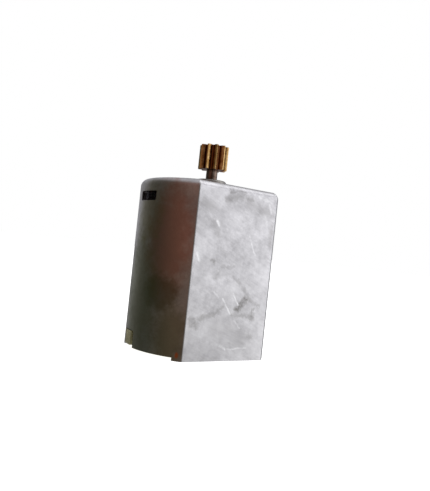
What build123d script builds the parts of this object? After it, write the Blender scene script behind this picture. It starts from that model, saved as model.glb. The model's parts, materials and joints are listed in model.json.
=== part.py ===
"""A flat-sided brushed DC motor with a brass pinion, in millimetres.

+Z runs along the motor's axis towards the pinion, and z = 0 is the front face of the can, which the
motor is mounted by. The can's two flats face +Y and -Y, and its two round sides face +X and -X.
"""

import os
from math import acos, asin, cos, degrees, pi, radians, sin, tan

from build123d import *

# ---------------------------------------------------------------- the can
can_diameter = 24.2  # across the two round sides
can_flats = 18.3  # across the two flat sides
can_length = 28.8  # front face to rear rim
can_wall = 0.8
shoulder_radius = 1.2  # drawn corner round the front face
corner_radius = 0.35  # upright corners between flats and round sides
boss_diameter = 5.4  # bearing boss on the front face
boss_height = 1.25
boss_edge_radius = 0.4
window_width = 5.0  # lanced windows in the round sides, near the front
window_height = 1.6
window_below_face = 2.3
window_corner = 0.3
stop_reach = 1.5  # how far the tongue lanced out of a window stands inwards
stop_side_gap = 0.25  # tongue to window edge, each side
screw_spacing = 16.0  # two screw holes in the front face, along X
screw_hole_diameter = 2.1
notch_width = 3.95  # rear notches that the end cap's keys sit in
notch_height = 3.3
notch_offset = 1.85  # notch centre off the X axis
notch_corner = 0.4
rim_cut_back = 0.5  # the round sides stop this much short of the flats
corner_tab = 1.7  # full-length rim left beside each upright corner
crimp_width = 5.0  # lips folded in over the end cap
crimp_reach = 1.0

# ---------------------------------------------------------------- fits and gaps
glue_gap = 0.05  # magnet to can
slip_gap = 0.05  # pieces that slide in by hand
running_gap = 0.02  # shaft to bearing, on the radius
brush_gap = 0.03  # brush face to commutator
air_gap = 0.4  # armature to magnet
flat_gap = 0.5  # armature to the can's flats
end_play = 0.1  # between the thrust faces at each end

# ---------------------------------------------------------------- shaft and pinion
shaft_diameter = 2.0
shaft_chamfer = 0.15
pinion_module = 0.4
pinion_teeth = 10
pinion_shift = 0.4  # profile shift, as a share of the module
pinion_pressure_angle = 20.0
pinion_length = 4.25
pinion_above_face = 3.1  # front face of the can to the pinion's lower end
pinion_turn = 30.6  # degrees from +X to a tooth at rest
flank_points = 6

# ---------------------------------------------------------------- bearings and washers
bearing_diameter = 4.5
front_bearing_length = 2.8
rear_bearing_length = 1.8
bearing_recess = 0.2  # front bearing below the boss's outer end
bearing_chamfer = 0.15
washer_thickness = 0.25
washer_diameter = 3.9
spacer_diameter = 3.4

# ---------------------------------------------------------------- magnets and their springs
magnet_side_gap = 0.3  # magnet corner to the can's flats
spring_wire = 0.9
spring_bend = 1.6  # centre-line radius of a spring's two bends
spring_ahead = 1.3  # bridge of a spring in front of the stack, centre line

# ---------------------------------------------------------------- armature
magnet_overhang = 2.25  # magnet past each end of the stack
poles = 3
hub_diameter = 5.0
neck_width = 2.6
shoe_thickness = 1.45
slot_opening = 1.6
insulator_thickness = 0.5
insulator_inset = 0.4
winding_build = 1.5  # copper over the end of the stack
winding_width = 1.9  # copper beside the neck
winding_gap = 0.1  # copper to iron
winding_round = 0.8

# ---------------------------------------------------------------- commutator and brushes
commutator_diameter = 4.8
segment_thickness = 0.4
segment_slit = 0.35
segment_inset = 0.1  # segments in front of the sleeve's rear end
riser_reach = 1.4
riser_width = 1.2
riser_thickness = 0.3
riser_gap = 0.2  # winding to riser
retainer_length = 0.5
retainer_thickness = 0.45
brush_width = 2.4
brush_height = 2.4
brush_depth = 1.6
arm_thickness = 0.25
arm_height = 2.6
arm_overhang = 0.8  # arm past the brush
arm_foot = 2.4  # length of the arm's foot along the terminal

# ---------------------------------------------------------------- end cap and terminals
cap_floor = 1.6
brush_space = 4.15  # end cap floor to magnets
cap_boss_diameter = 10.0
cap_boss_recess = 0.1  # bearing boss inside the rear rim
cap_boss_edge = 0.25
bearing_lip = 0.5  # plastic left under the rear bearing
bearing_eye_diameter = 3.2  # hole in that lip
key_width = 2.8
key_root = 2.0  # how far a key reaches in over the floor
key_relief = 1.6  # depth of the gap beside a key
key_offset = 2.25  # key centre off the X axis
key_top_gap = 0.15
post_width = 4.4
post_depth = 1.2
post_gap = 0.3  # post to magnet
peep_length = 3.4  # slots in the floor beside the brushes
peep_gap = 0.25  # slot to the bearing boss and to the lips
terminal_thickness = 0.4
terminal_width = 2.6
terminal_inset = 2.4  # can's bore to the middle of a terminal's upright leg
terminal_foot_gap = 0.9  # folded foot to the bearing boss
terminal_hole_diameter = 1.1

# ---------------------------------------------------------------- worked out from the above
can_radius = can_diameter / 2
half_flats = can_flats / 2
bore_radius = can_radius - can_wall
bore_flat = half_flats - can_wall
shaft_radius = shaft_diameter / 2
boss_radius = boss_diameter / 2
bearing_radius = bearing_diameter / 2
journal_radius = shaft_radius + running_gap
corner_angle = degrees(asin(half_flats / can_radius))  # an upright corner, measured from +X

window_bottom = -window_below_face - window_height
stop_bottom = window_bottom - can_wall
magnet_front = stop_bottom - slip_gap
rim = -can_length
cap_rear = rim + can_wall
cap_inner = cap_rear + cap_floor
magnet_rear = cap_inner + brush_space
armature_radius = bore_flat - flat_gap
magnet_outer = bore_radius - glue_gap
magnet_inner = armature_radius + air_gap
magnet_half_angle = degrees(asin((bore_flat - magnet_side_gap) / magnet_outer))

stack_front = magnet_front - magnet_overhang
stack_rear = magnet_rear + magnet_overhang
winding_front = stack_front + insulator_thickness + winding_build
winding_rear = stack_rear - insulator_thickness - winding_build
shoe_inner = armature_radius - shoe_thickness

cap_boss_radius = cap_boss_diameter / 2
cap_boss_rear = rim + cap_boss_recess
rear_bearing_rear = cap_boss_rear + bearing_lip
rear_bearing_front = rear_bearing_rear + rear_bearing_length
rear_washer_rear = rear_bearing_front + end_play
sleeve_rear = rear_washer_rear + washer_thickness
commutator_front = winding_rear - riser_gap
segment_rear = sleeve_rear + segment_inset
commutator_radius = commutator_diameter / 2
sleeve_radius = commutator_radius - segment_thickness

front_bearing_top = boss_height - bearing_recess
front_bearing_rear = front_bearing_top - front_bearing_length
front_washer_rear = front_bearing_rear - end_play - washer_thickness
spacer_rear = stack_front + insulator_thickness

brush_middle = (commutator_front - riser_thickness + segment_rear + retainer_length) / 2
brush_inner = commutator_radius + brush_gap
arm_y = brush_inner + brush_depth  # where the brush ends and the arm begins
arm_top = brush_middle + arm_height / 2
terminal_radius = bore_radius - terminal_inset
terminal_inner = terminal_radius - terminal_thickness / 2
terminal_outer = terminal_radius + terminal_thickness / 2
foot_length = terminal_outer - cap_boss_radius - terminal_foot_gap

pinion_top = pinion_above_face + pinion_length
base_radius = pinion_module * pinion_teeth * cos(radians(pinion_pressure_angle)) / 2
tip_radius = pinion_module * (pinion_teeth / 2 + 1 + pinion_shift)
root_radius = pinion_module * (pinion_teeth / 2 - 1.25 + pinion_shift)

os.makedirs("parts", exist_ok=True)


def save(solid, label):
    """Labels a finished piece and writes its STEP file."""
    solid.label = label
    export_step(solid, f"parts/{label}.step")


def flatted_disc(radius, flat):
    """A disc cut by two flats that face +Y and -Y."""
    Circle(radius)
    Rectangle(2 * radius, 2 * flat, mode=Mode.INTERSECT)


def wedge(half_angle, mode):
    """A triangle with its point on the axis, open towards +X, that takes in half_angle on each side."""
    spread = can_diameter * tan(radians(half_angle))
    Polygon((0, 0), (can_diameter, -spread), (can_diameter, spread), align=None, mode=mode)


def side_plane(turn, distance=0.0):
    """An upright plane across one round side: turn 0 is the +X side, 180 the -X side."""
    outwards = Vector(cos(radians(turn)), sin(radians(turn)), 0)
    return Plane(outwards * distance, x_dir=(-outwards.Y, outwards.X, 0), z_dir=outwards)


def edges_at(builder, height):
    """The piece's edges that lie wholly at one height."""
    return builder.edges().filter_by(lambda edge: edge.bounding_box().size.Z < 1e-4
                                     and abs(edge.center().Z - height) < 1e-4)


# ================================================================ the can


def make_can():
    """Drawn steel: front face, boss, windows, notches, and lips folded in over the end cap."""
    with BuildPart() as can:
        with BuildSketch(Plane.XY.offset(rim)):
            flatted_disc(can_radius, half_flats)
        extrude(amount=can_length)
        fillet(can.edges().filter_by(Axis.Z), corner_radius)
        fillet(edges_at(can, 0), shoulder_radius)
        with BuildSketch(Plane.XY.offset(rim)):
            flatted_disc(bore_radius, bore_flat)
        extrude(amount=can_length - can_wall, mode=Mode.SUBTRACT)
        fillet(edges_at(can, -can_wall), max(shoulder_radius - can_wall, slip_gap))
        with BuildSketch():
            Circle(boss_radius)
        extrude(amount=boss_height)
        fillet(edges_at(can, boss_height), boss_edge_radius)
        with Locations((0, 0, boss_height)):
            Hole(bearing_radius, depth=boss_height + can_wall)
        with GridLocations(screw_spacing, 0, 2, 1):
            Hole(screw_hole_diameter / 2, depth=can_wall)
        # a window right through each round side, and the tongue lanced out of it folded inwards
        with BuildSketch(Plane.YZ.offset(-can_diameter)):
            with Locations((0, window_bottom + window_height / 2)):
                RectangleRounded(window_width, window_height, window_corner)
        extrude(amount=2 * can_diameter, mode=Mode.SUBTRACT)
        with BuildSketch(Plane.XY.offset(stop_bottom)):
            Rectangle(can_diameter, window_width - 2 * stop_side_gap)
            Circle(bore_radius + can_wall / 2, mode=Mode.INTERSECT)
            Circle(bore_radius - stop_reach, mode=Mode.SUBTRACT)
        extrude(amount=can_wall)
        # the rear rim: shorter along the round sides, with a notch for a key of the end cap in each
        with BuildSketch(Plane.XY.offset(rim)):
            with PolarLocations(0, 2):
                wedge(corner_angle - degrees(corner_tab / can_radius), Mode.ADD)
        extrude(amount=rim_cut_back, mode=Mode.SUBTRACT)
        with BuildSketch(side_plane(0, bore_radius / 2), side_plane(180, bore_radius / 2)):
            with Locations((-notch_offset, rim)):
                RectangleRounded(notch_width, 2 * notch_height, notch_corner)
        extrude(amount=can_radius, mode=Mode.SUBTRACT)
        # the lips that hold the end cap
        lip = crimp_reach + can_wall / 2
        with BuildSketch(Plane.XY.offset(rim)):
            with GridLocations(0, 2 * (bore_flat + can_wall / 2) - lip, 1, 2):
                Rectangle(crimp_width, lip)
        extrude(amount=can_wall)
    save(can.part, "can")


# ================================================================ what is fixed in the can


def make_end_cap():
    """Moulded plastic: the floor that closes the can, bearing boss, keys and terminal posts."""
    key_top = rim + notch_height - key_top_gap
    peep_near = cap_boss_radius + peep_gap
    peep_far = bore_flat - crimp_reach - peep_gap
    with BuildPart() as end_cap:
        with BuildSketch(Plane.XY.offset(cap_rear)):
            flatted_disc(bore_radius - slip_gap, bore_flat - slip_gap)
        extrude(amount=cap_floor)
        with BuildSketch(Plane.XY.offset(cap_boss_rear)):
            Circle(cap_boss_radius)
        extrude(amount=cap_rear - cap_boss_rear)
        fillet(edges_at(end_cap, cap_boss_rear), cap_boss_edge)
        # a key for each notch, flush with the can's outside, with a gap beside it that lets it spring
        with BuildSketch(Plane.XY.offset(cap_rear)):
            with PolarLocations(0, 2):
                with Locations((bore_radius, -notch_offset)):
                    Rectangle(2 * key_relief, notch_width)
        extrude(amount=cap_floor, mode=Mode.SUBTRACT)
        with BuildSketch(Plane.XY.offset(cap_rear)):
            with PolarLocations(0, 2):
                with Locations((can_radius, -key_offset)):
                    Rectangle(2 * (can_wall + key_root), key_width)
            Circle(can_radius, mode=Mode.INTERSECT)
        extrude(amount=key_top - cap_rear)
        # a post behind each terminal
        with BuildSketch(Plane.XY.offset(cap_inner)):
            with PolarLocations(terminal_outer + slip_gap + post_depth / 2, 2):
                Rectangle(post_depth, post_width)
            Circle(bore_radius - slip_gap, mode=Mode.INTERSECT)
        extrude(amount=magnet_rear - post_gap - cap_inner)
        # bearing seat, open to the rear through a smaller eye
        with Locations((0, 0, cap_inner)):
            CounterBoreHole(bearing_eye_diameter / 2, bearing_radius, cap_inner - rear_bearing_rear)
        # slots for the terminals and beside the brushes
        with BuildSketch(Plane.XY.offset(cap_rear)):
            with PolarLocations(terminal_radius, 2):
                Rectangle(terminal_thickness + 2 * slip_gap, terminal_width + 2 * slip_gap)
            with GridLocations(0, peep_near + peep_far, 1, 2):
                SlotOverall(peep_length, peep_far - peep_near)
        extrude(amount=cap_floor, mode=Mode.SUBTRACT)
    save(end_cap.part, "end_cap")


def make_bearing(label, z_low, length):
    """A sintered bronze sleeve bearing with its outer edges broken."""
    with BuildPart() as bearing:
        with BuildSketch(Plane.XY.offset(z_low)):
            Circle(bearing_radius)
            Circle(journal_radius, mode=Mode.SUBTRACT)
        extrude(amount=length)
        rims = bearing.edges().filter_by(GeomType.CIRCLE)
        chamfer(rims.filter_by(lambda edge: edge.radius > journal_radius + slip_gap), bearing_chamfer)
    save(bearing.part, label)


def make_magnets():
    """Two ferrite arcs, one in each round side of the can."""
    with BuildPart() as magnet:
        with BuildSketch(Plane.XY.offset(magnet_rear)):
            Circle(magnet_outer)
            Circle(magnet_inner, mode=Mode.SUBTRACT)
            wedge(magnet_half_angle, Mode.INTERSECT)
        extrude(amount=magnet_front - magnet_rear)
    save(magnet.part.rotate(Axis.Z, 180), "magnet_left")
    save(magnet.part, "magnet_right")


def make_springs():
    """Two U-shaped wires, one along each flat, that press the magnets apart."""
    half_wire = spring_wire / 2
    leg_y = bore_flat - half_wire - slip_gap
    slope = radians(magnet_half_angle)
    leg_x = (leg_y * cos(slope) - half_wire - slip_gap) / sin(slope)
    bridge = stack_front + spring_ahead
    with BuildPart() as spring:
        with BuildLine() as path:
            FilletPolyline((-leg_x, leg_y, magnet_rear), (-leg_x, leg_y, bridge), (leg_x, leg_y, bridge),
                           (leg_x, leg_y, magnet_rear), radius=spring_bend)
        with BuildSketch(Plane(path.line @ 0, z_dir=path.line % 0)):
            Circle(half_wire)
        sweep()
    save(spring.part, "magnet_spring_back")
    save(spring.part.rotate(Axis.Z, 180), "magnet_spring_front")


def make_brush_gear():
    """A brush, its leaf-spring arm and the terminal the arm stands on, for each polarity."""
    with BuildPart() as brush:
        with BuildSketch(Plane.XY.offset(brush_middle - brush_height / 2)):
            with Locations((0, arm_y / 2)):
                Rectangle(brush_width, arm_y)
            Circle(brush_inner, mode=Mode.SUBTRACT)
        extrude(amount=brush_height)
    leaf_y = arm_y + arm_thickness
    with BuildPart() as arm:
        with BuildSketch(Plane.XY.offset(brush_middle - arm_height / 2)):
            with BuildLine():
                FilletPolyline((terminal_inner, terminal_width / 2 - arm_foot), (terminal_inner, leaf_y),
                               (-brush_width / 2 - arm_overhang, leaf_y), radius=3 * arm_thickness)
                offset(amount=arm_thickness, side=Side.LEFT)
            make_face()
        extrude(amount=arm_height)
    with BuildPart() as terminal:
        with BuildSketch(Plane.XY.offset(cap_rear - terminal_thickness)):
            with Locations((terminal_radius, 0)):
                Rectangle(terminal_thickness, terminal_width)
        extrude(amount=arm_top - cap_rear + terminal_thickness)
        with BuildSketch(Plane.XY.offset(cap_rear - terminal_thickness)):
            with Locations((terminal_outer - foot_length / 2, 0)):
                Rectangle(foot_length, terminal_width)
                Circle(terminal_hole_diameter / 2, mode=Mode.SUBTRACT)
        extrude(amount=terminal_thickness)
    for polarity, turn in (("positive", 0), ("negative", 180)):
        save(brush.part.rotate(Axis.Z, turn), f"carbon_brush_{polarity}")
        save(arm.part.rotate(Axis.Z, turn), f"brush_arm_{polarity}")
        save(terminal.part.rotate(Axis.Z, turn), f"terminal_{polarity}")


# ================================================================ what turns


def make_shaft():
    """The steel shaft, from its end in the rear bearing to the pinion's outer face."""
    with BuildPart() as shaft:
        with BuildSketch(Plane.XY.offset(rear_bearing_rear)):
            Circle(shaft_radius)
        extrude(amount=pinion_top - rear_bearing_rear)
        chamfer(shaft.edges().filter_by(GeomType.CIRCLE), shaft_chamfer)
    save(shaft.part, "shaft")


def half_tooth(radius):
    """Half a tooth's thickness at a radius, in radians, on an involute flank."""
    pressure = acos(base_radius / radius)
    reference = radians(pinion_pressure_angle)
    at_pitch = (pi / 2 + 2 * pinion_shift * tan(reference)) / pinion_teeth
    return at_pitch + tan(reference) - reference - tan(pressure) + pressure


def make_pinion():
    """The brass pinion: involute teeth on a core, with the shaft pressed through it."""
    radii = [base_radius + (tip_radius - base_radius) * step / flank_points for step in range(flank_points + 1)]
    left_flank = [(radius * cos(half_tooth(radius)), radius * sin(half_tooth(radius))) for radius in radii]
    right_flank = [(x, -y) for x, y in left_flank]
    foot = left_flank[0][1]
    with BuildPart() as pinion:
        with BuildSketch(Plane.XY.offset(pinion_above_face)):
            with BuildSketch(mode=Mode.PRIVATE) as tooth:
                with BuildLine():
                    Spline(left_flank)
                    Spline(right_flank)
                    Line(left_flank[-1], right_flank[-1])
                    Polyline(left_flank[0], (shaft_radius, foot), (shaft_radius, -foot), right_flank[0])
                make_face()
            Circle(root_radius)
            with PolarLocations(0, pinion_teeth, start_angle=pinion_turn):
                add(tooth.sketch)
            Circle(shaft_radius, mode=Mode.SUBTRACT)
        extrude(amount=pinion_length)
    save(pinion.part, "pinion")


def make_ring(label, outer, inner, z_low, z_high):
    """A plain ring about the motor's axis."""
    with BuildPart() as ring:
        with BuildSketch(Plane.XY.offset(z_low)):
            Circle(outer)
            Circle(inner, mode=Mode.SUBTRACT)
        extrude(amount=z_high - z_low)
    save(ring.part, label)


def lamination(radius, opening):
    """The plan of one lamination: a hub, a neck to each pole, and the shoes round the outside."""
    Circle(radius)
    Circle(shoe_inner, mode=Mode.SUBTRACT)
    with PolarLocations(radius, poles):
        Rectangle(3 * shoe_thickness, opening, mode=Mode.SUBTRACT)
    with PolarLocations(shoe_inner / 2, poles, start_angle=180 / poles):
        Rectangle(shoe_inner + shoe_thickness / 2, neck_width)
    Circle(hub_diameter / 2)
    Circle(shaft_radius, mode=Mode.SUBTRACT)


def make_armature():
    """The lamination stack, the insulators on its ends, and a coil round each pole."""
    with BuildPart() as core:
        with BuildSketch(Plane.XY.offset(stack_rear)):
            lamination(armature_radius, slot_opening)
        extrude(amount=stack_front - stack_rear)
    save(core.part, "armature_core")
    for label, z_low in (("insulator_front", stack_front), ("insulator_rear", stack_rear - insulator_thickness)):
        with BuildPart() as insulator:
            with BuildSketch(Plane.XY.offset(z_low)):
                lamination(armature_radius - insulator_inset, slot_opening + 2 * insulator_inset)
            extrude(amount=insulator_thickness)
        save(insulator.part, label)
    coil_inner = hub_diameter / 2 + winding_gap
    half_coil = neck_width / 2 + winding_width
    end_gap = insulator_thickness + winding_gap
    with BuildPart() as coil:
        with BuildSketch(Plane.XY.offset(winding_rear)):
            with Locations((coil_inner, 0)):
                Rectangle(shoe_inner, 2 * half_coil, align=(Align.MIN, Align.CENTER))
            Circle(shoe_inner - winding_gap, mode=Mode.INTERSECT)
        extrude(amount=winding_front - winding_rear)
        fillet(coil.edges().filter_by(Axis.X), winding_round)
        with BuildSketch(Plane.XY.offset(stack_rear - end_gap)):
            Rectangle(can_diameter, neck_width + 2 * winding_gap)
        extrude(amount=stack_front - stack_rear + 2 * end_gap, mode=Mode.SUBTRACT)
    for number in range(poles):
        turn = 360 / poles * (number + 0.5)
        save(coil.part.rotate(Axis.Z, turn), f"winding_{number + 1}")


def make_commutator():
    """A plastic sleeve on the shaft, a copper segment with a riser for each pole, and a ring."""
    make_ring("commutator_sleeve", sleeve_radius, shaft_radius, sleeve_rear, commutator_front)
    with BuildPart() as segment:
        with BuildSketch(Plane.XY.offset(segment_rear)):
            Circle(commutator_radius)
            Circle(sleeve_radius, mode=Mode.SUBTRACT)
            wedge(180 / poles - degrees(segment_slit / commutator_diameter), Mode.INTERSECT)
        extrude(amount=commutator_front - segment_rear)
        with BuildSketch(Plane.XY.offset(commutator_front - riser_thickness)):
            with Locations((sleeve_radius, 0)):
                Rectangle(segment_thickness + riser_reach, riser_width, align=(Align.MIN, Align.CENTER))
            Circle(sleeve_radius, mode=Mode.SUBTRACT)
        extrude(amount=riser_thickness)
    for number in range(poles):
        turn = 360 / poles * number
        save(segment.part.rotate(Axis.Z, turn), f"commutator_segment_{number + 1}")
    make_ring("commutator_ring", commutator_radius + retainer_thickness, commutator_radius,
              segment_rear, segment_rear + retainer_length)


make_can()
make_end_cap()
make_bearing("front_bearing", front_bearing_rear, front_bearing_length)
make_bearing("rear_bearing", rear_bearing_rear, rear_bearing_length)
make_magnets()
make_springs()
make_brush_gear()
make_shaft()
make_pinion()
make_ring("front_washer", washer_diameter / 2, shaft_radius, front_washer_rear, front_washer_rear + washer_thickness)
make_ring("front_spacer", spacer_diameter / 2, shaft_radius, spacer_rear, front_washer_rear)
make_armature()
make_commutator()
make_ring("rear_washer", washer_diameter / 2, shaft_radius, rear_washer_rear, sleeve_rear)
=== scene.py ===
import json
import math

import bmesh
import bpy
import numpy as np
from mathutils import Matrix, Vector


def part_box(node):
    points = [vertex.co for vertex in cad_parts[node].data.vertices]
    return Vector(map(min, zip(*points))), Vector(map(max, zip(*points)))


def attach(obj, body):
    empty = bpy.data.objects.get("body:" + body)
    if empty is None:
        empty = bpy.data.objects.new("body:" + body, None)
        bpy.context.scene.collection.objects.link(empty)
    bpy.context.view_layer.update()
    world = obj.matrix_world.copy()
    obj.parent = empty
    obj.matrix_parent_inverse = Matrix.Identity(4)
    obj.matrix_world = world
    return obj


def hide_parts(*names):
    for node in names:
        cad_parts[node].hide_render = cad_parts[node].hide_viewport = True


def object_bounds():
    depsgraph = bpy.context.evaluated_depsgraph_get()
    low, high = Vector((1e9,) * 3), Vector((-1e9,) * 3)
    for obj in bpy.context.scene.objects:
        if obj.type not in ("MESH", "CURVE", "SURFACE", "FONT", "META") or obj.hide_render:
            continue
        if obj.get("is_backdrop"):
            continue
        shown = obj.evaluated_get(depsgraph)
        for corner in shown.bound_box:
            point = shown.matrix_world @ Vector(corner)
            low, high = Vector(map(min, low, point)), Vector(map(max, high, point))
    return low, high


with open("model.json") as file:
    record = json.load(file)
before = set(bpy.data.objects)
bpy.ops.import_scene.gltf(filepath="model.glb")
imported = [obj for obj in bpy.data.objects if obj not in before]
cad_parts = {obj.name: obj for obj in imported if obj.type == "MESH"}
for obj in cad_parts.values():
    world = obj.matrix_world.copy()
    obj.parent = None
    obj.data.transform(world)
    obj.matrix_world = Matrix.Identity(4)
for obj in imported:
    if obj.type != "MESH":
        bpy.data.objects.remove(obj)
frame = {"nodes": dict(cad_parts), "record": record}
nodes = frame["nodes"]
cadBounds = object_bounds()
scene = bpy.context.scene
mm = 0.001
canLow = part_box("can")[0]
print("frame loaded:", len(nodes), "nodes")


def linearColour(hexCode):
    # sRGB hex to linear: a share up to 0.04045 is divided by 12.92; above it, the curve of power 2.4 is taken
    shares = [int(hexCode[i:i + 2], 16) / 255 for i in (1, 3, 5)]
    straight, curved = [c / 12.92 for c in shares], [((c + 0.055) / 1.055) ** 2.4 for c in shares]
    return tuple(low if c <= 0.04045 else high for c, low, high in zip(shares, straight, curved)) + (1.0,)


def addNode(tree, kind, stops=(), **inputs):
    # a lower-case name is one of the node's settings, a name with a capital is a socket, and at0, at1 and so on are
    # sockets by place; a node or a socket as the value is linked, and a hex string is a colour
    node = tree.nodes.new("ShaderNode" + kind)
    settings = [name for name in inputs if name[0].islower() and not name[2:].isdigit()]
    for name in settings:
        setattr(node, name, inputs.pop(name))
    for name, value in inputs.items():
        byPlace = name[:2] == "at" and name[2:].isdigit()
        named = (found for found in node.inputs if found.name.replace(" ", "") == name)
        socket = node.inputs[int(name[2:])] if byPlace else next(named)
        if isinstance(value, bpy.types.Node):
            value = next(output for output in value.outputs if output.enabled)
        if isinstance(value, bpy.types.NodeSocket):
            tree.links.new(value, socket)
        else:
            socket.default_value = linearColour(value) if isinstance(value, str) else value
    if stops:
        elements = node.color_ramp.elements
        while len(elements) < len(stops):
            elements.new(0.5)
        for element, (position, colour) in zip(elements, stops):
            element.position, element.color = position, linearColour(colour)
    return node


def startMaterial(name):
    # an empty material with its one shader joined to the output
    material = bpy.data.materials.new(name)
    material.use_nodes = True
    tree = material.node_tree
    tree.nodes.clear()
    shader = addNode(tree, "BsdfPrincipled")
    addNode(tree, "OutputMaterial", Surface=shader)
    return material, tree, shader


def cloudPattern(tree, sizeInMm, detail=3.0, roughness=0.55, stretch=(1, 1, 1), tilt=0.0, turned=False):
    # cloudy blobs about sizeInMm across, drawn out by stretch; turned lays them in rings round the shaft
    place = addNode(tree, "TexCoord").outputs["Object"]
    if turned:
        across = addNode(tree, "VectorMath", operation="MULTIPLY", at0=place, at1=(1, 1, 0))
        radius = addNode(tree, "VectorMath", operation="LENGTH", at0=across).outputs["Value"]
        place = addNode(tree, "CombineXYZ", X=radius, Z=addNode(tree, "SeparateXYZ", Vector=place).outputs["Z"])
    if tilt:
        place = addNode(tree, "VectorRotate", rotation_type="Y_AXIS", Vector=place, Angle=math.radians(tilt))
    scaled = addNode(tree, "Mapping", Vector=place, Scale=tuple(1 / (sizeInMm * mm * s) for s in stretch))
    return addNode(tree, "TexNoise", Vector=scaled, Scale=1.0, Detail=detail, Roughness=roughness)


platedSteel = {
    "light": "#CFCED1", "dull": "#B4B3B6", "stain": "#5A5650", "bright": "#F8F8FA",
    "cloudSize": 5.0, "mottleSize": 0.8, "grainSize": 0.16, "lineSize": 0.10, "streakSize": 0.28,  # mm
    "lineLength": 60, "streakLength": 7,  # lengths as times the size
    "streakTilt": -24,  # degrees from level
    "toneShares": (0.52, 0.30, 0.18),  # how much the cloud, the mottle and the streaks count in the tone
    "toneSpan": (0.36, 0.62),  # tones where the plating is dull and where it is light
    "roughness": (0.30, 0.45), "roughSpan": (0.60, 0.38),  # the two roughnesses, and the tones they stand at
    # relief: a depth in mm and a strength; scratches go inwards
    "lineRelief": (0.004, 0.6), "grainRelief": (0.006, 0.7), "waveRelief": (0.06, 0.40),
    "scratchRelief": (-0.02, 0.7),
    # how each kind of mark is drawn: the size and the reach of its wobble in mm, and its fade as times its width
    "smudgeEdge": (0.55, 1.5, 2.2), "scratchEdge": (1.2, 0.5, 1.5),
    "patchSpan": (0.32, 0.60), "patchLeast": 0.35,  # marks break up over this span of the mottle, down to this share
    "flatDepth": 0.8,  # mm behind the front flat that its marks reach
    "raggedSize": 1.6,  # mm, the noise that breaks the edges of the painted reflections, the rust spot and the grease
    "filmRagged": 0.9, "filmFade": (1.75, 0.95),  # noise added to each side tint's distance, and where it ends and is full
    "greaseRagged": 1.4, "greaseDepth": 0.3,  # mm of noise at its edge, and mm below the front face that it reaches
    # scratches on the front flat: two ends as (x, height above the rear rim) in mm, a width and a strength
    "scratches": [((-3.9, 22.5), (-3.5, 21.9), 0.26, 0.75), ((-1.25, 10.2), (0.45, 7.7), 0.15, 0.60),
                  ((0.72, 11.1), (1.84, 9.3), 0.16, 0.65), ((-3.1, 11.1), (-2.1, 10.4), 0.20, 0.35),
                  ((1.5, 6.6), (2.6, 5.5), 0.16, 0.35), ((2.8, 20.8), (4.4, 17.7), 0.15, 0.35),
                  ((-7.1, 17.1), (-6.6, 16.1), 0.25, 0.45), ((-0.9, 2.5), (0.1, 1.95), 0.24, 0.60),
                  ((0.7, 2.0), (4.3, 2.2), 0.16, 0.40), ((4.0, 27.5), (6.9, 26.9), 0.30, 0.40),
                  ((5.6, 24.5), (6.3, 23.1), 0.30, 0.30), ((6.2, 26.6), (7.0, 25.2), 0.30, 0.40)],
    # smudges on the front flat: two ends, a radius and a strength
    "smudges": [((1.75, 8.6), (3.36, 10.2), 0.42, 0.75), ((2.73, 11.9), (4.26, 10.0), 0.26, 0.36),
                ((4.26, 10.0), (6.3, 9.3), 0.24, 0.40), ((0.7, 7.7), (4.66, 7.4), 0.26, 0.34),
                ((4.87, 7.5), (5.0, 7.3), 0.45, 0.75), ((5.0, 8.8), (4.95, 7.7), 0.24, 0.50),
                ((-6.8, 6.4), (-6.3, 5.9), 0.55, 0.60), ((-5.4, 6.85), (-2.8, 7.6), 0.38, 0.42),
                ((-2.8, 7.6), (-1.2, 8.9), 0.28, 0.34), ((-4.05, 16.2), (-3.95, 16.15), 0.34, 0.60),
                ((4.85, 4.05), (5.2, 3.95), 0.34, 0.50), ((0.4, 13.9), (1.8, 12.9), 0.20, 0.26),
                ((-3.3, 13.5), (-2.5, 14.6), 0.24, 0.22), ((-2.0, 15.3), (0.1, 15.4), 0.24, 0.20),
                ((-1.9, 27.6), (1.1, 27.8), 0.24, 0.50), ((-2.5, 26.3), (0.45, 27.1), 0.45, 0.40),
                ((1.8, 26.9), (2.6, 26.8), 0.38, 0.42), ((2.1, 26.2), (6.6, 25.0), 0.70, 0.26),
                ((-6.7, 25.0), (-5.0, 24.8), 0.70, 0.30), ((-4.6, 22.4), (-3.6, 20.5), 0.42, 0.28),
                ((7.3, 22.8), (7.4, 19.5), 0.45, 0.35), ((-2.3, 5.6), (3.1, 3.8), 1.30, 0.20)],
    "grease": (3.2, 5.2, "#6F6A60", 0.75),  # full and gone at these radii in mm, a colour and a strength
    "sideFrom": -7.95,  # mm, the upright corner where the left round side starts
    # painted reflections on the left round side, tinted like old oil and heat films, and last a real orange rust spot
    # on
    # the corner tab: centre and half sizes as (degrees from the flat, mm above the rim), a colour and a strength
    "films": [((62, 19.0), (22, 9.5), "#B48070", 0.72), ((64, 10.2), (17, 3.0), "#66603E", 0.62),
              ((90, 9.0), (24, 12.0), "#8A926E", 0.55), ((52, 4.0), (16, 5.0), "#7E7A56", 0.60),
              ((84, 23.0), (16, 5.0), "#9A966E", 0.45), ((45.2, 0.95), (1.5, 0.50), "#DC7C48", 0.90)],
}


def segmentDistance(tree, point, start, end):
    # distance from the point to a line piece: the point less its nearest place on the piece, found by clamping
    run = Vector((end[0] - start[0], 0, end[1] - start[1]))
    offset = addNode(tree, "VectorMath", operation="SUBTRACT", at0=point, at1=(start[0], 0, start[1]))
    along = addNode(tree, "VectorMath", operation="DOT_PRODUCT", at0=offset, at1=tuple(run / run.length_squared))
    share = addNode(tree, "Math", operation="MULTIPLY", use_clamp=True, at0=along.outputs["Value"], at1=1.0)
    reached = addNode(tree, "VectorMath", operation="SCALE", at0=tuple(run), Scale=share)
    return addNode(tree, "VectorMath", operation="DISTANCE", at0=offset, at1=reached).outputs["Value"]


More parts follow.
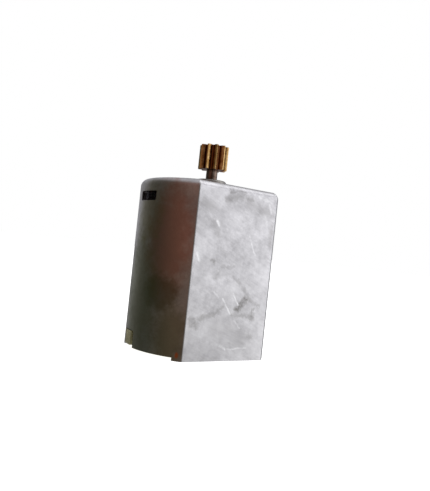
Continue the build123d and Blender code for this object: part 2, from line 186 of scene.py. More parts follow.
def strongestMark(tree, point, marks, spread):
    # the strongest of a list of marks at this place, each fading from its line out to spread times its width
    strongest = None
    for start, end, width, strength in marks:
        distance = segmentDistance(tree, point, start, end)
        mark = addNode(tree, "MapRange", interpolation_type="SMOOTHSTEP", Value=distance,
                       FromMin=width * spread, FromMax=0.0, ToMin=0.0, ToMax=strength)
        strongest = addNode(tree, "Math", operation="MAXIMUM", at0=mark, at1=strongest) if strongest else mark
    return strongest


def makePlatedSteel(spec):
    # deep-drawn steel strip with a matt tin-zinc plating: cloudy pale grey, faint draw lines, handling marks, and on
    # the left round side a rust spot and painted reflections
    material, tree, shader = startMaterial("matt plated drawn steel")
    cloud = cloudPattern(tree, spec["cloudSize"], detail=4, roughness=0.6)
    mottle = cloudPattern(tree, spec["mottleSize"], detail=5, roughness=0.65)
    streaks = cloudPattern(tree, spec["streakSize"], detail=4, roughness=0.6, stretch=(spec["streakLength"], 1, 1),
                           tilt=spec["streakTilt"])
    grain = cloudPattern(tree, spec["grainSize"], detail=2)
    lines = cloudPattern(tree, spec["lineSize"], detail=2, stretch=(1, 1, spec["lineLength"]))
    # tone: the cloud, the mottle and the streaks, each times its share, added up
    cloudShare, mottleShare, streakShare = spec["toneShares"]
    fine = addNode(tree, "Math", operation="MULTIPLY", at0=mottle, at1=mottleShare)
    coarse = addNode(tree, "Math", operation="MULTIPLY_ADD", at0=cloud, at1=cloudShare, at2=fine)
    tone = addNode(tree, "Math", operation="MULTIPLY_ADD", at0=streaks, at1=streakShare, at2=coarse)
    colour = addNode(tree, "ValToRGB", stops=list(zip(spec["toneSpan"], (spec["dull"], spec["light"]))), Fac=tone)
    place = addNode(tree, "TexCoord").outputs["Object"]
    apart = addNode(tree, "SeparateXYZ", Vector=place)
    # the front flat's marks: x and height in mm, pushed about a little by noise so that no edge is straight
    flatPlace = addNode(tree, "Mapping", Vector=place, Scale=(1 / mm, 0, 1 / mm), Location=(0, 0, -canLow.z / mm))
    onFlat = addNode(tree, "Math", operation="LESS_THAN", at0=apart.outputs["Y"],
                     at1=canLow.y + spec["flatDepth"] * mm)
    masks = []
    for marks, (wobbleSize, wobble, spread) in ((spec["smudges"], spec["smudgeEdge"]),
                                                (spec["scratches"], spec["scratchEdge"])):
        shaken = cloudPattern(tree, wobbleSize, detail=3, roughness=0.6).outputs["Color"]
        moved = addNode(tree, "VectorMath", operation="MULTIPLY_ADD", at0=shaken, at1=(wobble, 0, wobble),
                        at2=flatPlace)
        point = addNode(tree, "VectorMath", operation="SUBTRACT", at0=moved, at1=(wobble / 2, 0, wobble / 2))
        mark = addNode(tree, "Math", operation="MULTIPLY", at0=strongestMark(tree, point, marks, spread), at1=onFlat)
        patchy = addNode(tree, "MapRange", Value=mottle, FromMin=spec["patchSpan"][0], FromMax=spec["patchSpan"][1],
                         ToMin=spec["patchLeast"], ToMax=1.0)
        masks.append(addNode(tree, "Math", operation="MULTIPLY", at0=mark, at1=patchy))
    smudged, scratched = masks
    colour = addNode(tree, "Mix", data_type="RGBA", at0=smudged, at6=colour, at7=spec["stain"])
    # the painted reflections and the rust spot on the left round side: degrees round from the flat and height in mm
    left = addNode(tree, "Math", operation="MULTIPLY", at0=apart.outputs["X"], at1=-1.0)
    ahead = addNode(tree, "Math", operation="MULTIPLY", at0=apart.outputs["Y"], at1=-1.0)
    angle = addNode(tree, "Math", operation="ARCTAN2", at0=left, at1=ahead)
    unrolled = addNode(tree, "CombineXYZ", X=angle, Y=apart.outputs["Z"])
    sidePlace = addNode(tree, "Mapping", Vector=unrolled, Scale=(180 / math.pi, 1 / mm, 0),
                        Location=(0, -canLow.z / mm, 0))
    ragged = cloudPattern(tree, spec["raggedSize"], detail=4, roughness=0.6)
    onSide = addNode(tree, "Math", operation="LESS_THAN", at0=apart.outputs["X"], at1=spec["sideFrom"] * mm)
    for centre, halfSize, tintColour, strength in spec["films"]:
        away = addNode(tree, "VectorMath", operation="SUBTRACT", at0=sidePlace, at1=(*centre, 0))
        shrunk = addNode(tree, "VectorMath", operation="DIVIDE", at0=away, at1=(*halfSize, 1))
        distance = addNode(tree, "VectorMath", operation="LENGTH", at0=shrunk).outputs["Value"]
        uneven = addNode(tree, "Math", operation="MULTIPLY_ADD", at0=ragged, at1=spec["filmRagged"], at2=distance)
        tint = addNode(tree, "MapRange", interpolation_type="SMOOTHSTEP", Value=uneven, FromMin=spec["filmFade"][0],
                       FromMax=spec["filmFade"][1], ToMin=0.0, ToMax=strength)
        tint = addNode(tree, "Math", operation="MULTIPLY", at0=tint, at1=onSide)
        colour = addNode(tree, "Mix", data_type="RGBA", at0=tint, at6=colour, at7=tintColour)
    # grease round the boss on the front face, fading out from the boss's edge
    across = addNode(tree, "VectorMath", operation="MULTIPLY", at0=place, at1=(1, 1, 0))
    radius = addNode(tree, "VectorMath", operation="LENGTH", at0=across).outputs["Value"]
    full, gone, greaseColour, strength = spec["grease"]
    uneven = addNode(tree, "Math", operation="MULTIPLY_ADD", at0=ragged, at1=spec["greaseRagged"] * mm, at2=radius)
    grease = addNode(tree, "MapRange", interpolation_type="SMOOTHSTEP", Value=uneven, FromMin=gone * mm,
                     FromMax=full * mm, ToMin=0.0, ToMax=strength)
    onFace = addNode(tree, "Math", operation="GREATER_THAN", at0=apart.outputs["Z"], at1=-spec["greaseDepth"] * mm)
    grease = addNode(tree, "Math", operation="MULTIPLY", at0=grease, at1=onFace)
    colour = addNode(tree, "Mix", data_type="RGBA", at0=grease, at6=colour, at7=greaseColour)
    colour = addNode(tree, "Mix", data_type="RGBA", at0=scratched, at6=colour, at7=spec["bright"])
    tree.links.new(colour.outputs[2], shader.inputs["Base Color"])
    rough = addNode(tree, "MapRange", Value=tone, FromMin=spec["roughSpan"][1], FromMax=spec["roughSpan"][0],
                    ToMin=spec["roughness"][1], ToMax=spec["roughness"][0])
    tree.links.new(rough.outputs[0], shader.inputs["Roughness"])
    shader.inputs["Metallic"].default_value = 1.0
    # relief: the draw lines, the grain, the slow waves and the scratches, each laid over the one before
    under = {}
    for height, relief in ((lines, "lineRelief"), (grain, "grainRelief"), (cloud, "waveRelief"),
                           (scratched, "scratchRelief")):
        depth, strength = spec[relief]
        bump = addNode(tree, "Bump", invert=depth < 0, Height=height, Distance=abs(depth) * mm, Strength=strength,
                       **under)
        under = {"Normal": bump}
    tree.links.new(bump.outputs[0], shader.inputs["Normal"])
    return material


finishBuild = {
    "cloudSpan": (0.34, 0.66),  # cloud values where the dark and the light colour are reached
    "markSpan": (0.3, 0.7),  # mark values where the two roughnesses are reached
    "markStrength": 0.7,  # of the relief
    "filmRagged": 0.5,  # mm of noise in the edge of the painted shade in the pinion's gaps
    "speckCore": 0.6,  # share of a speck's radius that has its full colour
    "jointWidth": 0.12, "jointColour": "#17130F",  # the joint between sheets, as a share of a sheet's thickness
}


def makeFinish(name, spec):
    # shared build-up: a two-tone cloud for the colour, fine marks for roughness and relief, then what the spec adds
    material, tree, shader = startMaterial(name)
    turned = spec.get("turned", False)
    cloud = cloudPattern(tree, spec["cloudSize"], detail=4, roughness=0.6)
    marks = cloudPattern(tree, spec["markSize"], stretch=spec.get("stretch", (1, 1, 1)), turned=turned)
    colour = addNode(tree, "ValToRGB", stops=list(zip(finishBuild["cloudSpan"], (spec["dark"], spec["light"]))),
                     Fac=cloud)
    height = marks
    if "gapFilm" in spec:  # painted shade in the gaps, in the colour of old oil: full at the inner radius, gone at the outer, broken by noise
        inner, outer, tintColour, strength = spec["gapFilm"]
        place = addNode(tree, "TexCoord").outputs["Object"]
        across = addNode(tree, "VectorMath", operation="MULTIPLY", at0=place, at1=(1, 1, 0))
        radius = addNode(tree, "VectorMath", operation="LENGTH", at0=across).outputs["Value"]
        ragged = finishBuild["filmRagged"]
        broken = addNode(tree, "Math", operation="MULTIPLY_ADD", at0=cloud, at1=ragged * mm, at2=radius)
        tint = addNode(tree, "MapRange", interpolation_type="SMOOTHSTEP", Value=broken,
                       FromMin=(outer + ragged / 2) * mm, FromMax=(inner + ragged / 2) * mm,
                       ToMin=0.0, ToMax=strength)
        colour = addNode(tree, "Mix", data_type="RGBA", at0=tint, at6=colour, at7=tintColour)
    if "specks" in spec:  # pores or flecks: small round cells darker or paler than the rest
        size, share, speckColour = spec["specks"]
        place = addNode(tree, "Mapping", Vector=addNode(tree, "TexCoord").outputs["Object"],
                        Scale=(1 / (size * mm),) * 3)
        cells = addNode(tree, "TexVoronoi", Vector=place, Scale=1.0).outputs["Distance"]
        speck = addNode(tree, "MapRange", interpolation_type="SMOOTHSTEP", Value=cells, FromMin=share,
                        FromMax=share * finishBuild["speckCore"], ToMin=0.0, ToMax=1.0)
        colour = addNode(tree, "Mix", data_type="RGBA", at0=speck, at6=colour, at7=speckColour)
        height = addNode(tree, "Math", operation="SUBTRACT", at0=marks, at1=speck)
    if "sheets" in spec:  # the joints between stacked sheets: a thin dark groove at every sheet's thickness along z
        z = addNode(tree, "SeparateXYZ", Vector=addNode(tree, "TexCoord").outputs["Object"]).outputs["Z"]
        step = addNode(tree, "Math", operation="DIVIDE", at0=z, at1=spec["sheets"] * mm)
        saw = addNode(tree, "Math", operation="PINGPONG", at0=step, at1=0.5)
        joint = addNode(tree, "MapRange", interpolation_type="SMOOTHSTEP", Value=saw,
                        FromMin=finishBuild["jointWidth"], FromMax=0.0, ToMin=0.0, ToMax=1.0)
        colour = addNode(tree, "Mix", data_type="RGBA", at0=joint, at6=colour, at7=finishBuild["jointColour"])
        height = addNode(tree, "Math", operation="SUBTRACT", at0=marks, at1=joint)
    tree.links.new(next(output for output in colour.outputs if output.enabled), shader.inputs["Base Color"])
    low, high = spec["roughness"]
    rough = addNode(tree, "MapRange", Value=marks, FromMin=finishBuild["markSpan"][0],
                    FromMax=finishBuild["markSpan"][1], ToMin=low, ToMax=high)
    tree.links.new(rough.outputs[0], shader.inputs["Roughness"])
    bump = addNode(tree, "Bump", Height=height, Distance=spec["markDepth"] * mm, Strength=finishBuild["markStrength"])
    tree.links.new(bump.outputs[0], shader.inputs["Normal"])
    shader.inputs["Metallic"].default_value = spec["metallic"]
    if "ior" in spec:
        shader.inputs["IOR"].default_value = spec["ior"]
    if "coat" in spec:  # a clear skin over the colour: weight and roughness
        shader.inputs["Coat Weight"].default_value, shader.inputs["Coat Roughness"].default_value = spec["coat"]
    return material


finishes = {
    # injection-moulded from natural nylon, its colour darkened to olive khaki as painted shade: waxy, with a fine
    # spark-eroded mould grain
    "cap_plastic": ("moulded nylon", {"dark": "#6E6B4C", "light": "#8F8C68", "cloudSize": 2.0, "markSize": 0.12,
                    "markDepth": 0.008, "roughness": (0.45, 0.62), "metallic": 0.0, "ior": 1.53}),
    # pressed from bronze powder and sintered: dull brown metal with open pores that hold oil
    "sintered_bronze": ("sintered bronze", {"dark": "#6B4A2C", "light": "#9A6F42", "cloudSize": 1.0, "markSize": 0.07,
                        "markDepth": 0.006, "roughness": (0.42, 0.68), "metallic": 1.0,
                        "specks": (0.11, 0.30, "#2B1C10")}),
    # fired ceramic ground on its faces: near black, with pits and a faint grind
    "ferrite": ("ground ferrite", {"dark": "#242428", "light": "#3A3A3F", "cloudSize": 2.2, "markSize": 0.09,
                "stretch": (1, 1, 12), "markDepth": 0.005, "roughness": (0.45, 0.65), "metallic": 0.0, "ior": 2.0,
                "specks": (0.6, 0.10, "#141416")}),
    # cold-drawn wire: bright with fine lines along its length
    "spring_steel": ("drawn spring wire", {"dark": "#8C8C8E", "light": "#B9B9BC", "cloudSize": 1.5, "markSize": 0.05,
                     "stretch": (1, 1, 30), "markDepth": 0.003, "roughness": (0.22, 0.38), "metallic": 1.0}),
    # rolled and blanked strip: warm metal with straight rolling lines
    "phosphor_bronze": ("rolled phosphor bronze", {"dark": "#A8703F", "light": "#CF955C", "cloudSize": 2.0,
                        "markSize": 0.05, "stretch": (30, 30, 1), "markDepth": 0.002, "roughness": (0.22, 0.36),
                        "metallic": 1.0}),
    # pressed from graphite and resin: soft black, with paler rubbed flecks
    "carbon": ("pressed carbon graphite", {"dark": "#17171A", "light": "#2B2B2E", "cloudSize": 0.8, "markSize": 0.08,
               "markDepth": 0.006, "roughness": (0.42, 0.62), "metallic": 0.0, "ior": 1.9,
               "specks": (0.22, 0.14, "#47474B")}),
    # brass strip dipped in tin: pale, soft gloss, slightly yellow where the tin is thin
    "tinned_brass": ("tinned brass strip", {"dark": "#B9AE90", "light": "#DCD8CC", "cloudSize": 1.2, "markSize": 0.10,
                     "markDepth": 0.005, "roughness": (0.22, 0.42), "metallic": 1.0}),
    # centreless-ground steel, its colour darkened to brown as a painted reflection of dark surroundings: fine rings
    # round the axis
    "shaft_steel": ("ground shaft steel", {"dark": "#5A4940", "light": "#8E7E74", "cloudSize": 1.4, "markSize": 0.05,
                    "turned": True, "markDepth": 0.002, "roughness": (0.20, 0.36), "metallic": 1.0}),
    # hobbed from brass rod: yellow and bright on the tooth tips, painted shade in the brown of old oil down in the
    # gaps
    "pinion_brass": ("hobbed brass", {"dark": "#C49A5C", "light": "#ECC88C", "cloudSize": 0.9, "markSize": 0.06,
                     "stretch": (1, 1, 14), "markDepth": 0.003, "roughness": (0.22, 0.40), "metallic": 1.0,
                     "gapFilm": (1.95, 2.46, "#6C2E14", 0.88)}),
    # punched from natural nylon sheet: milky and soft
    "washer_nylon": ("natural nylon", {"dark": "#D8D3C2", "light": "#EAE6D8", "cloudSize": 0.9, "markSize": 0.10,
                     "markDepth": 0.004, "roughness": (0.38, 0.52), "metallic": 0.0, "ior": 1.53}),
    # stamped sheets of 0.5 mm electrical steel, stacked: blue-grey, with a dark joint at every sheet
    "core_steel": ("stamped electrical steel", {"dark": "#4A4A4E", "light": "#77777B", "cloudSize": 1.4,
                   "markSize": 0.08, "markDepth": 0.030, "roughness": (0.38, 0.58), "metallic": 1.0, "sheets": 0.5}),
    # punched from vulcanised fibre: rust red, dry and slightly furry at the edges
    "insulator_fibre": ("vulcanised fibre", {"dark": "#7A2C1E", "light": "#9A3E2A", "cloudSize": 0.9,
                        "markSize": 0.07, "stretch": (6, 1, 1), "markDepth": 0.008, "roughness": (0.58, 0.76),
                        "metallic": 0.0, "ior": 1.5}),
    # drawn copper with baked varnish: deep red-brown under a clear glossy skin
    "enamelled_copper": ("enamelled copper wire", {"dark": "#7E3417", "light": "#B4582A", "cloudSize": 1.6,
                         "markSize": 0.10, "markDepth": 0.003, "roughness": (0.22, 0.36), "metallic": 1.0,
                         "coat": (0.6, 0.12)}),
    # compression-moulded phenolic with filler: dark brown with paler flecks
    "phenolic": ("moulded phenolic", {"dark": "#2A1B14", "light": "#3D2A20", "cloudSize": 0.8, "markSize": 0.10,
                 "markDepth": 0.005, "roughness": (0.32, 0.48), "metallic": 0.0, "ior": 1.6,
                 "specks": (0.25, 0.12, "#5A4536")}),
    # turned copper, rubbed by the brushes: rings round the axis and a darker film
    "copper": ("turned copper", {"dark": "#9A5334", "light": "#D98A62", "cloudSize": 0.9, "markSize": 0.05,
               "turned": True, "markDepth": 0.004, "roughness": (0.20, 0.36), "metallic": 1.0}),
}
materials = {slot: makeFinish(name, spec) for slot, (name, spec) in finishes.items()}
materials["can_steel"] = makePlatedSteel(platedSteel)
for part in frame["record"]["subparts"]:
    mesh = nodes[part["node"]].data
    mesh.materials.clear()
    mesh.materials.append(materials[part["material_slot"]])
print("materials made:", len(materials))


def smoothByAngle(mesh, degrees):
    # smooth shading everywhere but on edges that turn by more than the angle
    mesh.shade_smooth()
    mesh.set_sharp_from_angle(angle=math.radians(degrees))


def gridObject(name, x, y, z, closeAcross=False, closeAlong=False, smooth=35):
    # a sheet of quads over a grid of points; either direction can be joined end to end, and doubled points are merged
    rows, columns = x.shape
    index = np.arange(rows * columns).reshape(rows, columns)
    if closeAlong:
        index = np.vstack([index, index[:1]])
    if closeAcross:
        index = np.hstack([index, index[:, :1]])
    quads = np.stack([index[:-1, :-1], index[:-1, 1:], index[1:, 1:], index[1:, :-1]], axis=-1).reshape(-1, 4)
    mesh = bpy.data.meshes.new(name)
    mesh.from_pydata(np.stack([x, y, z], axis=-1).reshape(-1, 3).tolist(), [], quads.tolist())
    shape = bmesh.new()
    shape.from_mesh(mesh)
    bmesh.ops.remove_doubles(shape, verts=shape.verts, dist=1e-7)
    bmesh.ops.recalc_face_normals(shape, faces=shape.faces)
    shape.to_mesh(mesh)
    shape.free()
    smoothByAngle(mesh, smooth)
    made = bpy.data.objects.new(name, mesh)
    scene.collection.objects.link(made)
    return made


def addPiece(made, body, slotName, *replaced):
    # its finish, the body it rides on, and the CAD nodes whose place it takes
    made.data.materials.append(materials[slotName])
    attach(made, body)
    if replaced:
        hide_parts(*replaced)
    return made


pinionSpec = {
    "teeth": 10, "module": 0.4, "shift": 0.4,  # the module in mm, the profile shift in modules
    "tipHeight": 1.0, "rootDepth": 1.25,  # modules above and below the shifted pitch circle
    "pressureAngle": 20.0, "turn": 30.6,  # degrees
    "tipRound": 0.035, "rootRound": 0.12, "chamfer": 0.07, "bore": 1.0,  # mm
    "flankSteps": 12, "rootSteps": 6, "chamferSteps": 3, "smooth": 32,  # degrees
}


def toothOutline(spec):
    # one tooth as angle and radius: root land, rounded corner, involute flank, rounded tip, and the same mirrored
    teeth, module, shift = spec["teeth"], spec["module"], spec["shift"]
    pressure = math.radians(spec["pressureAngle"])
    base = module * teeth * math.cos(pressure) / 2
    tip = module * (teeth / 2 + spec["tipHeight"] + shift)
    root = module * (teeth / 2 - spec["rootDepth"] + shift)
    atPitch = (math.pi / 2 + 2 * shift * math.tan(pressure)) / teeth
    radius = np.linspace(base, tip - spec["tipRound"], spec["flankSteps"])
    roll = np.arccos(np.clip(base / radius, -1, 1))
    flankAngle = atPitch + math.tan(pressure) - pressure - np.tan(roll) + roll
    corner = np.linspace(0, math.pi / 2, spec["rootSteps"])
    rootRound = spec["rootRound"]
    rootAngle = flankAngle[0] + rootRound / root * (1 - np.sin(corner))
    rootRadius = root + rootRound * (1 - np.cos(corner))
    land = np.linspace(math.pi / teeth, rootAngle[0], 4)[:-1]  # from the middle of the gap to the corner
    crest = np.linspace(flankAngle[-1] * 0.75, 0, 3)  # from a quarter of the way in to the middle of the tooth
    angles = np.concatenate([land, rootAngle, flankAngle[1:], crest])
    radii = np.concatenate([np.full_like(land, root), rootRadius, radius[1:], np.full_like(crest, tip)])
    return np.concatenate([-angles, angles[-2:0:-1]]), np.concatenate([radii, radii[-2:0:-1]])


def makePinion(spec):
    # the tooth outline repeated round the shaft and carried along it, cut back by a cone at both ends
    low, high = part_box("pinion")
    angle, radius = toothOutline(spec)
    turns = np.arange(spec["teeth"])[:, None] * 2 * math.pi / spec["teeth"] + math.radians(spec["turn"])
    angle, radius = (turns + angle).ravel(), np.tile(radius, spec["teeth"])
    inwards = np.linspace(0, spec["chamfer"], spec["chamferSteps"])
    z = np.concatenate([low.z / mm + inwards, high.z / mm - inwards[::-1]])
    cone = radius.max() - spec["chamfer"] + np.concatenate([inwards, inwards[::-1]])
    outer = np.minimum(radius[None, :], cone[:, None])
    rows = np.vstack([np.full_like(radius, spec["bore"]), outer, np.full_like(radius, spec["bore"])])
    z = np.concatenate([z[:1], z, z[-1:]])
    x, y = rows * np.cos(angle) * mm, rows * np.sin(angle) * mm
    made = gridObject("pinion_gear", x, y, np.repeat(z[:, None] * mm, len(angle), axis=1), True, True,
                      spec["smooth"])
    return addPiece(made, "rotor", "pinion_brass", "pinion")


coilSpec = {
    "wire": 0.34, "pitch": 0.36, "cornerRound": 0.85,  # mm
    "cornerMost": 0.6,  # the most of the half width that a corner takes
    "count": 3, "firstPole": 60,  # degrees from +X
    "stepsPerTurn": 72, "sides": 8, "smooth": 60,  # degrees
}


def roundedLoop(share, halfWidth, halfHeight, radius):
    # a point on each of many rounded rectangles, at a share of its way round: four straights and four quarter circles
    flatW, flatH = halfWidth - radius, np.full_like(halfWidth, halfHeight) - radius
    high, quarter = np.full_like(halfWidth, halfHeight), radius * math.pi / 2
    edges = np.cumsum(np.stack([2 * flatH, quarter, 2 * flatW, quarter] * 2), axis=0)
    way = (share % 1.0) * edges[-1]
    piece = (way >= edges[:-1]).sum(axis=0)
    pick = piece, np.arange(len(share))
    along = way - np.vstack([np.zeros_like(way), edges])[pick]
    # each straight starts at its own corner, and each quarter circle turns about its centre
    fromW = np.stack([halfWidth, flatW, flatW, -flatW, -halfWidth, -flatW, -flatW, flatW])[pick]
    fromH = np.stack([-flatH, flatH, high, flatH, flatH, -flatH, -high, -flatH])[pick]
    heading = np.array([[0, 1], [0, 0], [-1, 0], [0, 0], [0, -1], [0, 0], [1, 0], [0, 0]])[piece]
    angle = np.array([0, 0, 0, math.pi / 2, 0, math.pi, 0, -math.pi / 2])[piece] + along / radius
    swing = np.where(piece % 2 == 1, radius, 0)
    return (fromW + heading[:, 0] * along + swing * np.cos(angle),
            fromH + heading[:, 1] * along + swing * np.sin(angle))


def makeCoil(number, spec):
    # a round wire carried along a helix that follows the coil's rounded block, turn beside turn out along the pole
    low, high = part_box("winding_2")  # the coil on the pole that points along -X
    inner, outer = -high.x / mm, -low.x / mm
    halfWidth, halfHeight = high.y / mm, (high.z - low.z) / 2 / mm
    middle = (high.z + low.z) / 2 / mm
    turnCount = int((outer - inner - spec["wire"]) / spec["pitch"])
    share = np.linspace(0, turnCount, turnCount * spec["stepsPerTurn"] + 1)
    out = inner + spec["wire"] / 2 + share * spec["pitch"]
    width = np.minimum(halfWidth, np.sqrt(outer ** 2 - out ** 2))  # inside the armature's round outline
    side, height = roundedLoop(share, width, halfHeight, np.minimum(spec["cornerRound"], width * spec["cornerMost"]))
    pole = math.radians(spec["firstPole"] + 360 / spec["count"] * (number - 1))
    outward = np.array([math.cos(pole), math.sin(pole), 0])
    sideways = np.array([-math.sin(pole), math.cos(pole), 0])
    path = out[:, None] * outward + side[:, None] * sideways + (height + middle)[:, None] * np.array([0, 0, 1])
    along = np.gradient(path, axis=0)
    along /= np.linalg.norm(along, axis=1, keepdims=True)
    first = outward - (along @ outward)[:, None] * along
    first /= np.linalg.norm(first, axis=1, keepdims=True)
    second = np.cross(along, first)
    thickness = np.full(len(share), spec["wire"] / 2)
    thickness[[0, -1]] = 0.0
    around = np.linspace(0, 2 * math.pi, spec["sides"], endpoint=False)
    points = path[:, None] + thickness[:, None, None] * (np.cos(around)[None, :, None] * first[:, None]
                                                         + np.sin(around)[None, :, None] * second[:, None])
    made = gridObject(f"coil_turns_{number}", *(points[..., i] * mm for i in range(3)), True, False, spec["smooth"])
    return addPiece(made, "rotor", "enamelled_copper")


turnedSpec = {
    # node: (body, bore in mm or 0 for a solid bar, chamfer mm, edge round mm, oil groove depth mm)
    "shaft": ("rotor", 0.0, 0.15, 0.03, 0.0),
    "front_bearing": ("stator", 1.02, 0.15, 0.04, 0.05),
    "rear_bearing": ("stator", 1.02, 0.15, 0.04, 0.05),
    "front_washer": ("rotor", 1.0, 0.0, 0.05, 0.0),
    "front_spacer": ("rotor", 1.0, 0.0, 0.06, 0.0),
    "rear_washer": ("rotor", 1.0, 0.0, 0.05, 0.0),
    "commutator_sleeve": ("rotor", 1.0, 0.0, 0.04, 0.0),
    "commutator_ring": ("rotor", 2.4, 0.0, 0.08, 0.0),
}


turnedBuild = {
    "steps": 96, "cornerSteps": 4, "smooth": 30,  # degrees
    "cornerMost": 0.45,  # the most of a side that a corner takes
    "leastChamfer": 0.001,  # mm
    "grooveTop": 0.15, "grooveFloor": 0.10,  # mm either side of the middle
    "axisGap": 0.02, "axisFree": 0.03,  # mm: a bar's outline starts here, and what lies inside this closes on the axis
}


def softCorners(corners, radius):
    # each corner of an outline is swapped for a short curve: a parabola between two points set back along its sides
    before, after = np.roll(corners, 1, axis=0) - corners, np.roll(corners, -1, axis=0) - corners
    lengths = [np.linalg.norm(side, axis=1, keepdims=True) for side in (before, after)]
    setBack = np.minimum(radius, turnedBuild["cornerMost"] * np.minimum(*lengths))
    start, end = corners + before / lengths[0] * setBack, corners + after / lengths[1] * setBack
    t = np.linspace(0, 1, turnedBuild["cornerSteps"])[None, :, None]
    return ((1 - t) ** 2 * start[:, None] + 2 * t * (1 - t) * corners[:, None] + t ** 2 * end[:, None]).reshape(-1, 2)


def makeTurned(node, body, bore, chamfer, edge, groove):
    # a lathe shape: a closed outline of radius and height carried once round the axis
    low, high = (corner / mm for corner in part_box(node))
    outer, bottom, top = high.x, low.z, high.z
    middle, cut = (bottom + top) / 2, max(chamfer, turnedBuild["leastChamfer"])
    wall = [(outer - cut, bottom), (outer, bottom + cut)]
    if groove:  # a shallow ring round the middle, where the press tool's halves meet
        wide, narrow = turnedBuild["grooveTop"], turnedBuild["grooveFloor"]
        wall += [(outer, middle - wide), (outer - groove, middle - narrow),
                 (outer - groove, middle + narrow), (outer, middle + wide)]
    wall += [(outer, top - cut), (outer - cut, top)]
    inside = bore or turnedBuild["axisGap"]
    outline = softCorners(np.array([(inside, bottom)] + wall + [(inside, top)]), edge)
    if not bore:  # the bar's ends close on the axis
        outline = np.vstack([[0, bottom], outline[outline[:, 0] > turnedBuild["axisFree"]], [0, top]])
    angle = np.linspace(0, 2 * math.pi, turnedBuild["steps"], endpoint=False)[:, None]
    radius, height = outline[None, :, 0] * mm, np.repeat(outline[None, :, 1] * mm, len(angle), axis=0)
    made = gridObject(node + "_turned", radius * np.cos(angle), radius * np.sin(angle), height, bool(bore), True,
                      turnedBuild["smooth"])
    slotName = next(part["material_slot"] for part in frame["record"]["subparts"] if part["node"] == node)
    return addPiece(made, body, slotName, node)


makePinion(pinionSpec)
for coilNumber in range(1, coilSpec["count"] + 1):
    makeCoil(coilNumber, coilSpec)
for turnedNode, sizes in turnedSpec.items():
    makeTurned(turnedNode, *sizes)
print("new pieces made:", 1 + coilSpec["count"] + len(turnedSpec))


cameraSpec = {
    "turn": 34.36,  # degrees round from the front flat towards the left round side
    "rise": -0.62,  # degrees above level
    "roll": 6.08,  # the motor leans to the right
    "distance": 100.8, "sideways": -2.29, "upwards": -3.50,  # mm
    "aim": 15.0,  # mm above the rear rim
    "focal": 571 / 491,  # focal length as a share of the frame's height
    "clip": (0.005, 20),  # m
}


def makeCamera(spec):
    # the camera looks along -back; the roll turns right and up, and they move the aim point off the centre
    turn, rise, roll = (math.radians(spec[k]) for k in ("turn", "rise", "roll"))
    back = Vector((-math.sin(turn) * math.cos(rise), -math.cos(turn) * math.cos(rise), math.sin(rise)))
    level = Vector((math.cos(turn), -math.sin(turn), 0))
    upright = back.cross(level)
    right = level * math.cos(roll) + upright * math.sin(roll)
    up = upright * math.cos(roll) - level * math.sin(roll)
    data = bpy.data.cameras.new("camera")
    data.lens = spec["focal"] * data.sensor_width
    data.clip_start, data.clip_end = spec["clip"]
    camera = bpy.data.objects.new("camera", data)
    aim = Vector((0, 0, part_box("can")[0].z + spec["aim"] * mm))
    place = aim + (back * spec["distance"] - right * spec["sideways"] - up * spec["upwards"]) * mm
    camera.matrix_world = Matrix.Translation(place) @ Matrix((right, up, back)).transposed().to_4x4()
    scene.collection.objects.link(camera)
    scene.camera = camera


stageSpec = {"floorSize": 6.0, "floor": "#FFFFFF", "roughness": 0.9, "glow": 0.95, "points": 9}  # size in m


def makeFloor(spec):
    # a flat grid at the motor's lowest point; its glow keeps it white, and the motor's metal doesn't mirror it
    half = spec["floorSize"] / 2
    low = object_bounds()[0].z
    across, along = np.meshgrid(*[np.linspace(-half, half, spec["points"])] * 2)
    floor = gridObject("floor", across, along, np.full_like(across, low))
    material, _, shader = startMaterial("painted white board")
    shader.inputs["Base Color"].default_value = linearColour(spec["floor"])
    shader.inputs["Roughness"].default_value = spec["roughness"]
    shader.inputs["Emission Color"].default_value = linearColour(spec["floor"])
    shader.inputs["Emission Strength"].default_value = spec["glow"]
    floor.data.materials.append(material)
    floor.visible_glossy = False
    floor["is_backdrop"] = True


worldSpec = {
    # radiance round the horizon as the motor sees it: degrees from the front flat's normal towards the left side
    "above": [(-180, "#B4B4B6"), (-150, "#9A9A9C"), (-112, "#A4A4A6"), (-78, "#DCDCE0"), (-45, "#DCDCE0"),
              (-20, "#C8C8CB"), (6, "#B4B0AC"), (20, "#5A4E46"), (36, "#6E584E"), (62, "#9A7468"),
              (86, "#786256"), (108, "#534F46"), (130, "#474740"), (152, "#6C6961"), (180, "#B4B4B6")],
    "below": [(-180, "#9A9A9A"), (-150, "#8A8A8A"), (-112, "#8C8C8C"), (-78, "#B8B8B8"), (-45, "#B0B0B0"),
              (-20, "#A0A19C"), (6, "#98958C"), (20, "#48443A"), (36, "#4A463C"), (62, "#64604E"),
              (86, "#525444"), (108, "#3C4136"), (130, "#3C4136"), (152, "#686660"), (180, "#9A9A9A")],
    "blend": (-0.16, 0.05),  # heights, as the sine of the angle above level, between which the two rings blend
    "overhead": "#D8D8DA", "overheadFrom": (0.62, 0.95),  # the same kind of heights
    "backdrop": "#FFFFFF", "strength": 1.0,
}


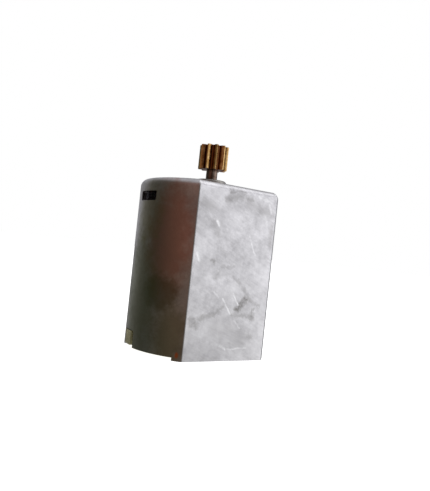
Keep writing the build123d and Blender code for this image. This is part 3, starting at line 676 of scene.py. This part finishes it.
def makeWorld(spec):
    # a plain studio: white behind the motor, and soft zones round the horizon for the light and the reflections;
    # the angle is the arctangent of left over ahead, and the two rings blend by height
    world = bpy.data.worlds.new("studio")
    scene.world = world
    world.use_nodes = True
    tree = world.node_tree
    tree.nodes.clear()
    way = addNode(tree, "SeparateXYZ", Vector=addNode(tree, "TexCoord").outputs["Generated"])
    left = addNode(tree, "Math", operation="MULTIPLY", at0=way.outputs["X"], at1=-1.0)
    ahead = addNode(tree, "Math", operation="MULTIPLY", at0=way.outputs["Y"], at1=-1.0)
    angle = addNode(tree, "Math", operation="ARCTAN2", at0=left, at1=ahead)
    share = addNode(tree, "MapRange", Value=angle, FromMin=-math.pi, FromMax=math.pi, ToMin=0.0, ToMax=1.0)
    rings = {ring: [((turn + 180) / 360, colour) for turn, colour in spec[ring]] for ring in ("above", "below")}
    above, below = (addNode(tree, "ValToRGB", stops=stops, Fac=share) for stops in rings.values())
    lift = addNode(tree, "MapRange", Value=way.outputs["Z"], FromMin=spec["blend"][0], FromMax=spec["blend"][1],
                   ToMin=0.0, ToMax=1.0)
    sides = addNode(tree, "Mix", data_type="RGBA", at0=lift, at6=below, at7=above)
    high = addNode(tree, "MapRange", Value=way.outputs["Z"], FromMin=spec["overheadFrom"][0],
                   FromMax=spec["overheadFrom"][1], ToMin=0.0, ToMax=1.0)
    sky = addNode(tree, "Mix", data_type="RGBA", at0=high, at6=sides, at7=spec["overhead"])
    seen = addNode(tree, "LightPath").outputs["Is Camera Ray"]
    shown = addNode(tree, "Mix", data_type="RGBA", at0=seen, at6=sky, at7=spec["backdrop"])
    background = addNode(tree, "Background", Color=shown, Strength=spec["strength"])
    addNode(tree, "OutputWorld", Surface=background)


lightSpec = {
    # name: (degrees from the front flat's normal towards the left side, degrees up, distance m, size m, watts)
    "key": (-52, 5, 0.30, 0.30, 0.24),
    "top": (-60, 60, 0.40, 0.30, 0.30),
}


def makeLights(spec):
    # square lights round the motor's middle, each facing it from its own turn and rise
    middle = (cadBounds[0] + cadBounds[1]) / 2
    for name, (turn, rise, distance, size, power) in spec.items():
        data = bpy.data.lights.new(name, "AREA")
        data.shape = "SQUARE"
        data.size, data.energy = size, power
        light = bpy.data.objects.new(name, data)
        turn, rise = math.radians(turn), math.radians(rise)
        way = Vector((-math.sin(turn) * math.cos(rise), -math.cos(turn) * math.cos(rise), math.sin(rise)))
        light.location = middle + way * distance
        light.rotation_euler = way.to_track_quat("Z", "Y").to_euler()
        scene.collection.objects.link(light)


makeCamera(cameraSpec)
makeFloor(stageSpec)
makeWorld(worldSpec)
makeLights(lightSpec)
scene.view_settings.view_transform = "Standard"
print("camera, floor and lights placed")
